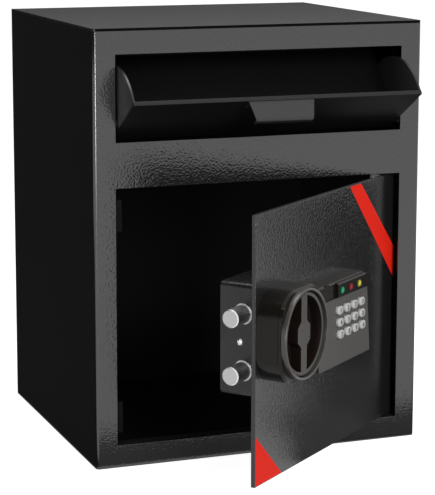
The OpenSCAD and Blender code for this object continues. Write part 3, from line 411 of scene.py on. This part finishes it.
# %% Mix the metals
chrome = metal("bolt chrome", (0.82, 0.82, 0.83), gloss=0.07, streak=0.1)
bolt_steel = metal("bolt steel", (0.82, 0.82, 0.83), gloss=0.24, streak=0.1)
turned_end = metal("turned bolt end", (0.42, 0.42, 0.42), gloss=0.45, streak=0.2)
zinc = metal("zinc plate", (0.5, 0.5, 0.5), gloss=0.32, streak=0.2)
brass = metal("turned brass", (0.65, 0.5, 0.22), gloss=0.25, streak=0.15)
print("paints, plastics and metals:", len(bpy.data.materials))

# %% [markdown]
# ## Lit lenses
# Three small oval lenses sit in the dark window above the keys: green, red and yellow. The lamp
# behind each one lights its middle more than its rim. A real light behind clear plastic would be
# slow and grainy to render, so the lens glows by itself, less the further from its middle.

# %% A glowing lens in three colours
GLOW_REACH = 0.0052
LED_A, LED_PITCH, LED_T, LED_Z = 156.75, 21.5, 24.5, 214.5
LENS_COLOURS = {
    "green": ((0.0, 0.03, 0.012), (0.03, 0.42, 0.2)),
    "red": ((0.04, 0.003, 0.005), (0.4, 0.02, 0.045)),
    "yellow": ((0.03, 0.03, 0.003), (0.75, 0.72, 0.08)),
}


def lens_glow(name, body, glow, middle):
    """A tinted lens, dark at its rim, that glows in the middle, which is a point on the door."""
    lens_material = plastic(name, body, gloss=0.25, depth=0.02, level=0.2, Emission_Strength=1.0)
    tree = lens_material.node_tree
    coords = add_node(tree, "TexCoord")
    reach = add_node(tree, "VectorMath", {0: coords.outputs["Object"]}, operation="DISTANCE")
    reach.inputs[1].default_value = ON_DOOR @ Vector(middle)
    fall = spread(tree, reach.outputs["Value"], 1.0, 0.0, From_Min=0.0, From_Max=GLOW_REACH)
    lit = add_node(tree, "VectorMath", {"Scale": fall}, operation="SCALE")
    lit.inputs[0].default_value = glow
    tree.links.new(lit.outputs[0], tree.nodes["Principled BSDF"].inputs["Emission Color"])
    return lens_material


lens = {}
for index, (colour, (body, glow)) in enumerate(LENS_COLOURS.items()):
    middle = (LED_A + index * LED_PITCH, -LED_T, LED_Z)
    lens["led_" + colour] = lens_glow("lens " + colour, body, glow, middle)
print("lenses:", list(lens))

# %% [markdown]
# ## Dress the CAD nodes
# Each node's shape is already right, so it only changes its material. A list under each finish
# reads like a painter's plan, and a node that is missing from it stops the script at once. The
# pieces that show in the photograph's view are replaced further down by copies with rounded edges.

# %% Give every node its finish
FINISH = {
    coat_front: [
        "cabinet_wrap", "floor_panel", "hinge_plate_upper", "hinge_plate_lower",
        "hinge_block_upper", "hinge_block_lower",
    ],
    # lighter copies of the coat are painted light, and darker copies are painted shade
    roof_coat_painted_light: ["roof_panel"],
    inside_coat_painted_shade: ["back_panel", "door_sill", "door_lintel"],
    chute_coat_painted_shade: ["chute_floor", "hopper_baffle", "hopper_tray", "strike_jamb"],
    handle_coat_painted_light: ["hopper_handle"],
    cheek_coat_painted_light: ["hopper_side_left", "hopper_side_right"],
    panel_coat_painted_shade: ["hopper_panel"],
    coat_door: ["door_leaf"],
    box_coat_painted_light: ["bolt_box"],
    lock_grey: ["lock_housing", "override_flap"],
    lock_rim: ["knob"],
    lock_collar: ["knob_collar"],
    lock_face: ["keypad_plate"],
    zinc: [
        "hopper_brackets", "anti_fishing_teeth", "hopper_pivot_pins", "handle_rivets",
        "bolt_guide", "bolt_carriage", "cam_spindle", "blocking_motor",
    ],
    chrome: ["hinge_pins", "blocking_pin"],
    bolt_steel: ["bolt_upper", "bolt_lower", "lock_screws"],
    brass: ["key_cylinder", "spindle_bush"],
    cell_black: ["battery_box", "battery_cover"],
    rubber: ["stop_bumpers"],
    window_black: ["status_window"],
    board_green: ["circuit_board"],
    key_silver: [n for n in nodes if n.startswith("key_") and n != "key_cylinder"],
}
for name, material in lens.items():
    FINISH[material] = [name]
finish_of = {name: material for material, names in FINISH.items() for name in names}
for name, node in nodes.items():
    node.data.materials.clear()
    node.data.materials.append(finish_of[name])
print("dressed:", len(finish_of))

# %% [markdown]
# ## Rounded edges
# Real sheet metal and mouldings have no perfectly sharp edges, and the thin line of light along an
# edge is what makes them look solid. A node's own mesh stays as it is, so it is copied. The copy is
# loose triangles until its points are merged; then a bevel rounds every edge that turns more than
# 30 degrees, weighted normals keep the broad faces flat, and the copy stands in for the node.

# %% Copy a node with rounded edges
BEVEL_STEPS = 2
BEVEL_FROM_DEG = 30.0
SKIN_SMOOTH_DEG = 40.0


def body_of_node(name):
    """The body that carries a node, as the record says."""
    return next(b for b, names in frame["record"]["behaviour"]["bodies"].items() if name in names)


def rounded_copy(name, radius_mm):
    """A copy of a node with its edges rounded, which stands in for it."""
    bpy.ops.object.select_all(action="DESELECT")
    mesh = nodes[name].data.copy()
    piece = bpy.data.objects.new(name + "_skin", mesh)
    bpy.context.scene.collection.objects.link(piece)
    only(piece)
    bpy.ops.object.mode_set(mode="EDIT")
    bpy.ops.mesh.select_all(action="SELECT")
    bpy.ops.mesh.customdata_custom_splitnormals_clear()
    bpy.ops.mesh.remove_doubles(threshold=1e-6)
    bpy.ops.object.mode_set(mode="OBJECT")
    edge = piece.modifiers.new("rounded edges", "BEVEL")
    edge.width = radius_mm * MM
    edge.segments = BEVEL_STEPS
    edge.limit_method = "ANGLE"
    edge.angle_limit = math.radians(BEVEL_FROM_DEG)
    edge.use_clamp_overlap = True
    edge.miter_outer = "MITER_ARC"
    bpy.ops.object.modifier_apply(modifier=edge.name)
    finish_piece(piece, finish_of[name], body_of_node(name), SKIN_SMOOTH_DEG)
    weigh = piece.modifiers.new("flat faces stay flat", "WEIGHTED_NORMAL")
    weigh.keep_sharp = True
    bpy.ops.object.modifier_apply(modifier=weigh.name)
    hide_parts(name)
    return piece


print("bevel:", BEVEL_STEPS, "steps on edges that turn over", BEVEL_FROM_DEG, "degrees")

# %% Round the pieces that show
EDGE_MM = {
    "cabinet_wrap": 0.5, "roof_panel": 0.8, "floor_panel": 0.6, "door_leaf": 0.7, "bolt_box": 0.4,
    "hopper_panel": 0.5, "hopper_side_left": 0.25, "hopper_side_right": 0.25, "hopper_handle": 0.5,
    "strike_jamb": 0.4, "door_sill": 0.4, "door_lintel": 0.4,
    "knob": 0.8, "keypad_plate": 0.4, "override_flap": 0.35, "lock_housing": 0.9,
    "knob_collar": 0.3, "bolt_upper": 0.4, "bolt_lower": 0.4,
}
skins = {name: rounded_copy(name, radius) for name, radius in EDGE_MM.items()}
print("faces:", {name: len(skin.data.polygons) for name, skin in skins.items()})

# %% [markdown]
# ## Faces with a finish of their own
# Some pieces carry two finishes. The knob's finger recesses are painted near black, which is painted
# shade. The bolts' ends are turned and not polished, and the paint runs smooth over the wrap's
# upright bends. The hopper's cheeks get rims of the panel's darker paint, painted shade that hides
# the light along their rounded edges. The roof's front edge is painted near black, a painted shadow
# of its seam. Cutting the meshes apart would break their rounded edges, so faces are picked by place
# and normal and get a second material.

# %% Change the finish of the faces that pass a test


def restain(piece, material, test, on=ON_DOOR):
    """Gives the faces that pass a second material; the test gets a centre in mm and a normal."""
    piece.data.materials.append(material)
    to_plan = on.inverted()
    turn = to_plan.to_3x3()
    changed = 0
    for face in piece.data.polygons:
        if test(to_plan @ face.center, (turn @ face.normal).normalized()):
            face.material_index = len(piece.data.materials) - 1
            changed += 1
    return changed


# the roof panel's front edge is painted near black: a painted shadow of the seam
seam = restain(skins["roof_panel"], seam_painted_shadow, lambda at, way: way.y < -0.9, on=SCALE_MM)
print("faces in the roof's dark seam:", seam)

# %% Recesses, bolt ends, bends and cheeks
KNOB_A, KNOB_Z, KNOB_FACE = 51.0, 188.0, 31.5
RECESS_RIM, RECESS_STEP = 41.5, 1.2
BEND_X, BEND_TURN = 190.0, 0.08
END_TURN, CHEEK_TURN = 0.8, 0.6


def in_recess(at, way):
    """Deeper than the knob's face, and within the rim of its two recesses."""
    from_middle = math.hypot(at.x - KNOB_A, at.z - KNOB_Z)
    return -at.y < KNOB_FACE - RECESS_STEP and from_middle < RECESS_RIM


def on_bend(at, way):
    """Turned both sideways and forwards, near the wrap's sides."""
    return abs(way.x) > BEND_TURN and way.y < -BEND_TURN and abs(at.x) > BEND_X


# the finger recesses are painted near black: painted shade
recess = restain(skins["knob"], recess_painted_shade, in_recess)
for name in ("bolt_upper", "bolt_lower"):
    restain(skins[name], turned_end, lambda at, way: way.x < -END_TURN)
bends = restain(skins["cabinet_wrap"], coat_bend, on_bend, on=SCALE_MM)
# the cheeks' rims get the panel's darker paint: painted shade over the light along their rounded
# edges
for name in ("hopper_side_left", "hopper_side_right"):
    restain(skins[name], panel_coat_painted_shade, lambda at, way: abs(way.x) < CHEEK_TURN, on=SCALE_MM)
print("faces in the recesses and on the bends:", recess, bends)

# %% [markdown]
# ## Domed keys
# A key is an oval cap that stands three millimetres out of the plate, with a soft crown and a
# flange at its foot that keeps it behind the plate. It could be lofted from sections, but a circle
# pulled apart in the middle is already the oval: it is extruded, its rim is bevelled into a dome,
# and its underside is widened and pushed down. The cap is modelled once and copied for each place.

# %% An oval block with a raised crown
KEY_W, KEY_H = 14.0, 9.6
KEY_TOP, KEY_FOOT = 3.0, -2.3
CROWN_RISE, CROWN_INSET = 0.25, 1.6
KEY_RIM = KEY_TOP - CROWN_RISE
NEAR = 0.02

bpy.ops.object.select_all(action="DESELECT")
bpy.ops.mesh.primitive_circle_add(
    vertices=36, radius=KEY_H / 2, fill_type="NGON", location=(0, 0, KEY_FOOT)
)
key_model = place(bpy.context.active_object, Matrix.Identity(4))
key_model.name = "key model"
bpy.ops.object.mode_set(mode="EDIT")
for side in (-1, 1):
    pick(key_model, "verts", lambda v: v.co.x * side > NEAR)
    bpy.ops.transform.translate(value=(side * (KEY_W - KEY_H) / 2, 0, 0))
bpy.ops.mesh.select_all(action="SELECT")
bpy.ops.mesh.extrude_region_move(TRANSFORM_OT_translate={"value": (0, 0, KEY_RIM - KEY_FOOT)})
bpy.ops.mesh.inset(thickness=CROWN_INSET, depth=CROWN_RISE)
bpy.ops.mesh.select_all(action="SELECT")
bpy.ops.mesh.normals_make_consistent(inside=False)
print("block:", len(bmesh.from_edit_mesh(key_model.data).faces), "faces")

# %% Round the rim and add the flange
RIM_ROUND, RIM_STEPS = 1.0, 4
FLANGE_OUT, FLANGE_T = 1.0, 1.4


def on_rim(edge):
    """On the corner between the cap's upright wall and its crown."""
    level = all(abs(v.co.z - KEY_RIM) < NEAR for v in edge.verts)
    return level and any(abs(face.normal.z) < 0.1 for face in edge.link_faces)


def under_foot(face):
    """The flat face below the cap."""
    return face.normal.z < -0.9 and face.calc_center_median().z < KEY_FOOT + NEAR


pick(key_model, "edges", on_rim)
bpy.ops.mesh.bevel(offset=RIM_ROUND, segments=RIM_STEPS, profile=0.5)
pick(key_model, "faces", under_foot)
bpy.ops.mesh.extrude_region_move(TRANSFORM_OT_translate={"value": (0, 0, 0)})
bpy.ops.transform.resize(
    value=((KEY_W + 2 * FLANGE_OUT) / KEY_W, (KEY_H + 2 * FLANGE_OUT) / KEY_H, 1)
)
bpy.ops.mesh.extrude_region_move(TRANSFORM_OT_translate={"value": (0, 0, -FLANGE_T)})
bpy.ops.mesh.select_all(action="SELECT")
bpy.ops.mesh.normals_make_consistent(inside=False)
bpy.ops.object.mode_set(mode="OBJECT")
key_model.data.materials.append(key_silver)
print("cap:", len(key_model.data.polygons), "faces")

# %% [markdown]
# ## The figures on the keys
# Ten keys carry a digit, and the two others a plain ring and a plain wedge. They could be drawn in
# the material, but a print has an edge and a little thickness of its own, so a text object is made
# a thin mesh that lies on the crown.

# %% A printed figure
FIGURE_H, INK_T = 7.6, 0.12
RING_R, RING_LINE = 1.7, 0.32
WEDGE_R, WEDGE_T = 2.2, 0.3


def figure(name, text):
    """A digit, or the ring or wedge of the two other keys, round the origin and facing up."""
    bpy.ops.object.select_all(action="DESELECT")
    if text == "clear":
        bpy.ops.mesh.primitive_torus_add(
            major_radius=RING_R, minor_radius=RING_LINE, major_segments=32, minor_segments=6
        )
    elif text == "enter":
        bpy.ops.mesh.primitive_cylinder_add(vertices=3, radius=WEDGE_R, depth=WEDGE_T)
    else:
        bpy.ops.object.text_add()
        digit = bpy.context.active_object.data
        digit.body = text
        digit.size = FIGURE_H
        digit.align_x = "CENTER"
        digit.align_y = "CENTER"
        digit.extrude = INK_T
        digit.offset = INK_T
        digit.resolution_u = 3
        bpy.ops.object.convert(target="MESH")
    mark = bpy.context.active_object
    mark.name = name
    mark.data.materials.append(figure_ink)
    return mark


print("print thickness:", INK_T, "mm")

# %% [markdown]
# ## Twelve keys
# The keys stand in four columns and three rows. Every key moves on its own when it is pressed, so
# each copy of the cap has its own mesh, is joined with its figure, and rides on a body of its own.

# %% Make the twelve keys
KEY_NAMES = ["1", "2", "3", "clear", "4", "5", "6", "0", "7", "8", "9", "enter"]
KEY_COLUMNS = 4
KEY_A0, KEY_ROW_Z = 153.5, 60.0
KEY_PITCH_A, KEY_PITCH_Z = 18.4, 13.4
INK_LIFT = 0.02
KEY_SMOOTH_DEG = 40.0


def key_place(index):
    """The middle of a key on the keypad's plane, counted along the rows from the top."""
    row, column = divmod(index, KEY_COLUMNS)
    return Matrix.Translation((KEY_A0 + column * KEY_PITCH_A, KEY_ROW_Z - row * KEY_PITCH_Z, 0.0))


for index, key_name in enumerate(KEY_NAMES):
    cap = bpy.data.objects.new("key_" + key_name + "_cap", key_model.data.copy())
    bpy.context.scene.collection.objects.link(cap)
    mark = figure("key_" + key_name + "_figure", key_name)
    mark.location = (0, 0, KEY_TOP + INK_LIFT)
    place(mark, Matrix.Identity(4))
    only(cap)
    mark.select_set(True)
    bpy.ops.object.join()
    place(cap, ON_KEYPAD @ key_place(index))
    bpy.ops.object.shade_smooth_by_angle(angle=math.radians(KEY_SMOOTH_DEG))
    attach(cap, "key_" + key_name)
    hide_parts("key_" + key_name)
bpy.data.objects.remove(key_model)
print("keys:", len(KEY_NAMES), "faces on the last:", len(cap.data.polygons))

# %% [markdown]
# ## Plain coloured film
# Two corners of the door carry thin red film. The outlines could be typed in as points, but each
# piece is cut from a sheet the size of the leaf by slicing the rest away, which keeps its edges in
# line with the leaf's own.

# %% Cut the film from a sheet
LEAF_A, LEAF_Z0, LEAF_Z1 = 344.5, 27.5, 320.0
FILM_MARGIN = 1.0
FILM_OUT, FILM_T = 0.12, 0.108
FILM_SMOOTH_DEG = 20

# each cut is a point on the leaf (a, z) and the direction (a, z) of what falls away
UPPER_CUTS = [((220, 320), (-1, -0.965)), ((249, 320), (0.88, 0.92))]
LOWER_CUTS = [((0, 84), (0.92, 1.0))]


def cut_film(name, cuts):
    """A sheet on the leaf with everything past each cut removed."""
    bpy.ops.object.select_all(action="DESELECT")
    bpy.ops.mesh.primitive_plane_add(size=1.0, rotation=(math.radians(90), 0, 0))
    film = bpy.context.active_object
    film.name = name
    bpy.ops.transform.resize(
        value=(LEAF_A - 2 * FILM_MARGIN, 1, LEAF_Z1 - LEAF_Z0 - 2 * FILM_MARGIN)
    )
    bpy.ops.transform.translate(value=(LEAF_A / 2, -FILM_OUT, (LEAF_Z0 + LEAF_Z1) / 2))
    place(film, Matrix.Identity(4))
    bpy.ops.object.mode_set(mode="EDIT")
    for (a, z), (da, dz) in cuts:
        bpy.ops.mesh.select_all(action="SELECT")
        bpy.ops.mesh.bisect(
            plane_co=(a, 0, z), plane_no=(da, 0, dz), clear_outer=True, use_fill=False
        )
    bpy.ops.mesh.select_all(action="SELECT")
    bpy.ops.mesh.solidify(thickness=FILM_T)
    bpy.ops.mesh.normals_make_consistent(inside=False)
    bpy.ops.object.mode_set(mode="OBJECT")
    place(film, ON_DOOR)
    return finish_piece(film, film_red, "door", FILM_SMOOTH_DEG)


upper_film = cut_film("corner_film_upper", UPPER_CUTS)
lower_film = cut_film("corner_film_lower", LOWER_CUTS)
print("film:", [len(film.data.vertices) for film in (upper_film, lower_film)], "points")

# %% [markdown]
# ## The studio
# The safe stands on a wide pale floor under a white sky. A floor that only reflects light would go
# grey far from the lamps, and more light would wash the safe out. So the camera, and whatever the
# gloss shows, sees some light of the floor's own, while the safe's shadow still falls there.

# %% The pale floor
FLOOR_SIZE = 30.0
FLOOR_GLOW = 0.95
# pale to the camera, but a dull table to the light that would bounce up under the safe
FLOOR_BOUNCE, FLOOR_PALE = 0.1, 0.45


def seen_rays(tree):
    """A Light Path node, and 1 for rays from the camera, off gloss or through glass, else 0."""
    path = add_node(tree, "LightPath")
    seen = path.outputs["Is Camera Ray"]
    for kind in ("Is Glossy Ray", "Is Transmission Ray"):
        links = {0: seen, 1: path.outputs[kind]}
        seen = add_node(tree, "Math", links, operation="MAXIMUM").outputs[0]
    return path, seen


def white_surface(name, glow):
    """Matt white that glows only for the rays that show it."""
    material = bpy.data.materials.new(name)
    material.use_nodes = True
    tree = material.node_tree
    shader = tree.nodes["Principled BSDF"]
    shader.inputs["Roughness"].default_value = 0.9
    shader.inputs["Specular IOR Level"].default_value = 0.0
    shader.inputs["Emission Color"].default_value = (1, 1, 1, 1)
    path, seen = seen_rays(tree)
    pale = spread(tree, path.outputs["Is Camera Ray"], FLOOR_BOUNCE, FLOOR_PALE)
    tree.links.new(pale, shader.inputs["Base Color"])
    strength = add_node(tree, "Math", {0: seen}, operation="MULTIPLY")
    strength.inputs[1].default_value = glow
    tree.links.new(strength.outputs[0], shader.inputs["Emission Strength"])
    return material


bpy.ops.object.select_all(action="DESELECT")
bpy.ops.mesh.primitive_plane_add(size=FLOOR_SIZE, location=(0, 0, 0))
floor = bpy.context.active_object
floor.name = "floor"
floor.data.materials.append(white_surface("studio floor", FLOOR_GLOW))
print("floor:", FLOOR_SIZE, "m across")

# %% The white sky
SKY_LIGHT, SKY_SEEN = 0.26, 1.0

world = bpy.data.worlds.new("studio")
bpy.context.scene.world = world
world.use_nodes = True
tree = world.node_tree
tree.nodes.clear()
path, seen = seen_rays(tree)
soft = add_node(tree, "Background", Color=(1, 1, 1, 1), Strength=SKY_LIGHT)
white = add_node(tree, "Background", Color=(1, 1, 1, 1), Strength=SKY_SEEN)
sky = add_node(tree, "MixShader", {0: seen, 1: soft.outputs[0], 2: white.outputs[0]})
add_node(tree, "OutputWorld", {"Surface": sky.outputs[0]})
print("sky nodes:", len(tree.nodes))

# %% [markdown]
# ## Lamps
# One large soft lamp stands in front, to the right of the camera, and lights the front and the
# door. Its own reflection would be a round glare on the gloss, so it is left out of reflections. An
# upright strip on the left does the opposite: it lights nothing, and shows only as the pale line on
# upright edges. A third lamp hangs above for the roof, the hopper's lip and the tops of the bolts.

# %% Three soft lamps


def soft_lamp(name, place_m, aim_m, size, watts, height=None):
    """A round lamp, or an upright strip when it has a height."""
    light = bpy.data.lights.new(name, "AREA")
    light.shape = "RECTANGLE" if height else "DISK"
    light.size = size
    if height:
        light.size_y = height
    light.energy = watts
    lamp = bpy.data.objects.new(name, light)
    bpy.context.scene.collection.objects.link(lamp)
    lamp.location = place_m
    lamp.rotation_euler = (Vector(aim_m) - Vector(place_m)).to_track_quat("-Z", "Y").to_euler()
    return lamp


key_lamp = soft_lamp("key lamp", (0.35, -2.9, 1.3), (0, -0.2, 0.25), 1.3, 68)
key_lamp.visible_glossy = False
edge_strip = soft_lamp(
    "edge strip", (-1.45, -1.9, 0.55), (-0.1, -0.25, 0.25), 0.3, 34, height=1.4
)
edge_strip.visible_diffuse = False
soft_lamp("top lamp", (0.0, 0.3, 2.4), (0, 0, 0.3), 1.4, 31)

# %% [markdown]
# ## Two flags and four cards
# Gloss shows whatever stands around it, and a wholly white room would turn the safe's side, roof
# and door pale. So, as in a studio for product pictures, dull black cards stand or lie where only
# reflections see them: a flag on the left darkens the side, a flag and a card at the back darken
# the roof, two cards on the right darken the door's far part, and a small one in front darkens the
# front's foot. They throw no shadow and no camera sees them. A faint glow says how black each looks.

# %% Three dull blacks


def dull_black(name, glow):
    """A matt black that gives back only a little even light of its own."""
    material = bpy.data.materials.new(name)
    material.use_nodes = True
    shader = material.node_tree.nodes["Principled BSDF"]
    shader.inputs["Base Color"].default_value = (0.004, 0.004, 0.004, 1)
    shader.inputs["Roughness"].default_value = 1.0
    shader.inputs["Specular IOR Level"].default_value = 0.0
    shader.inputs["Emission Color"].default_value = (1, 1, 1, 1)
    shader.inputs["Emission Strength"].default_value = glow
    return material


flag_black = dull_black("flag black", 0.018)
card_grey = dull_black("card grey", 0.2)
card_dim = dull_black("card dim", 0.12)
print("blacks:", [finish.name for finish in (flag_black, card_dim, card_grey)])

# %% Stand the flags and lay the cards
CARD_LIFT = 0.0015


def reflected_card(name, place_m, size_m, tilt_deg, turn_deg, finish):
    """A card that only reflections see, tilted up from the floor and turned about the upright."""
    bpy.ops.object.select_all(action="DESELECT")
    bpy.ops.mesh.primitive_plane_add(
        size=1.0, location=place_m, rotation=(math.radians(tilt_deg), 0, math.radians(turn_deg))
    )
    card = bpy.context.active_object
    card.name = name
    card.scale = (*size_m, 1)
    card.data.materials.append(finish)
    card.visible_camera = card.visible_diffuse = card.visible_transmission = False
    card.visible_shadow = False


def stand_flag(name, place_m, size_m, turn_deg, finish):
    """An upright flag."""
    reflected_card(name, place_m, size_m, 90, turn_deg, finish)


def lay_card(name, centre_m, size_m, turn_deg, finish):
    """A card that lies just above the floor."""
    reflected_card(name, (*centre_m, CARD_LIFT), size_m, 0, turn_deg, finish)


stand_flag("left flag", (-0.75, -0.45, 0.9), (2.1, 1.0), 90, flag_black)
stand_flag("back flag", (0.0, 1.1, 0.65), (3.2, 1.3), 0, flag_black)
lay_card("back card", (-0.85, 1.2), (1.3, 2.8), 0, flag_black)
lay_card("right card", (0.267, 0.094), (0.53, 0.7), 12.0, card_dim)
lay_card("far right card", (1.491, 0.311), (2.13, 0.7), 9.6, flag_black)
lay_card("foot card", (0.04, -0.235), (0.5, 0.11), 0, card_grey)

# %% [markdown]
# ## The camera
# The photograph looks at the safe from the left of its front and a little above, through a long
# lens, and its uprights are parallel, as in a picture from a level camera with its lens shifted. A
# large shift would push the safe out of the middle of every other view, so a small one and a small
# tilt come close to the same picture.

# %% Camera at the photograph's place
FRAME_W, FRAME_H = 435, 495
FOCAL_PX = 1901.2
CENTRE_PX = (216.3, 198.0)
SENSOR_MM = 36.0
CAMERA_AT = (-0.8068, -2.1658, 0.6602)
YAW_DEG, PITCH_DEG, ROLL_DEG = 20.678, 9.486, 0.098

optics = bpy.data.cameras.new("camera")
optics.sensor_width = SENSOR_MM
optics.lens = FOCAL_PX / FRAME_H * SENSOR_MM
optics.shift_x = (FRAME_W / 2 - CENTRE_PX[0]) / FRAME_H
optics.shift_y = (CENTRE_PX[1] - FRAME_H / 2) / FRAME_H
optics.clip_end = 60.0
camera = bpy.data.objects.new("camera", optics)
bpy.context.scene.collection.objects.link(camera)
camera.location = CAMERA_AT
camera.rotation_euler = (
    Matrix.Rotation(math.radians(-YAW_DEG), 4, "Z")
    @ Matrix.Rotation(math.radians(90 - PITCH_DEG), 4, "X")
    @ Matrix.Rotation(math.radians(ROLL_DEG), 4, "Z")
).to_euler()
bpy.context.scene.camera = camera
bpy.context.scene.view_settings.view_transform = "Standard"
print("lens:", round(optics.lens, 1), "mm")
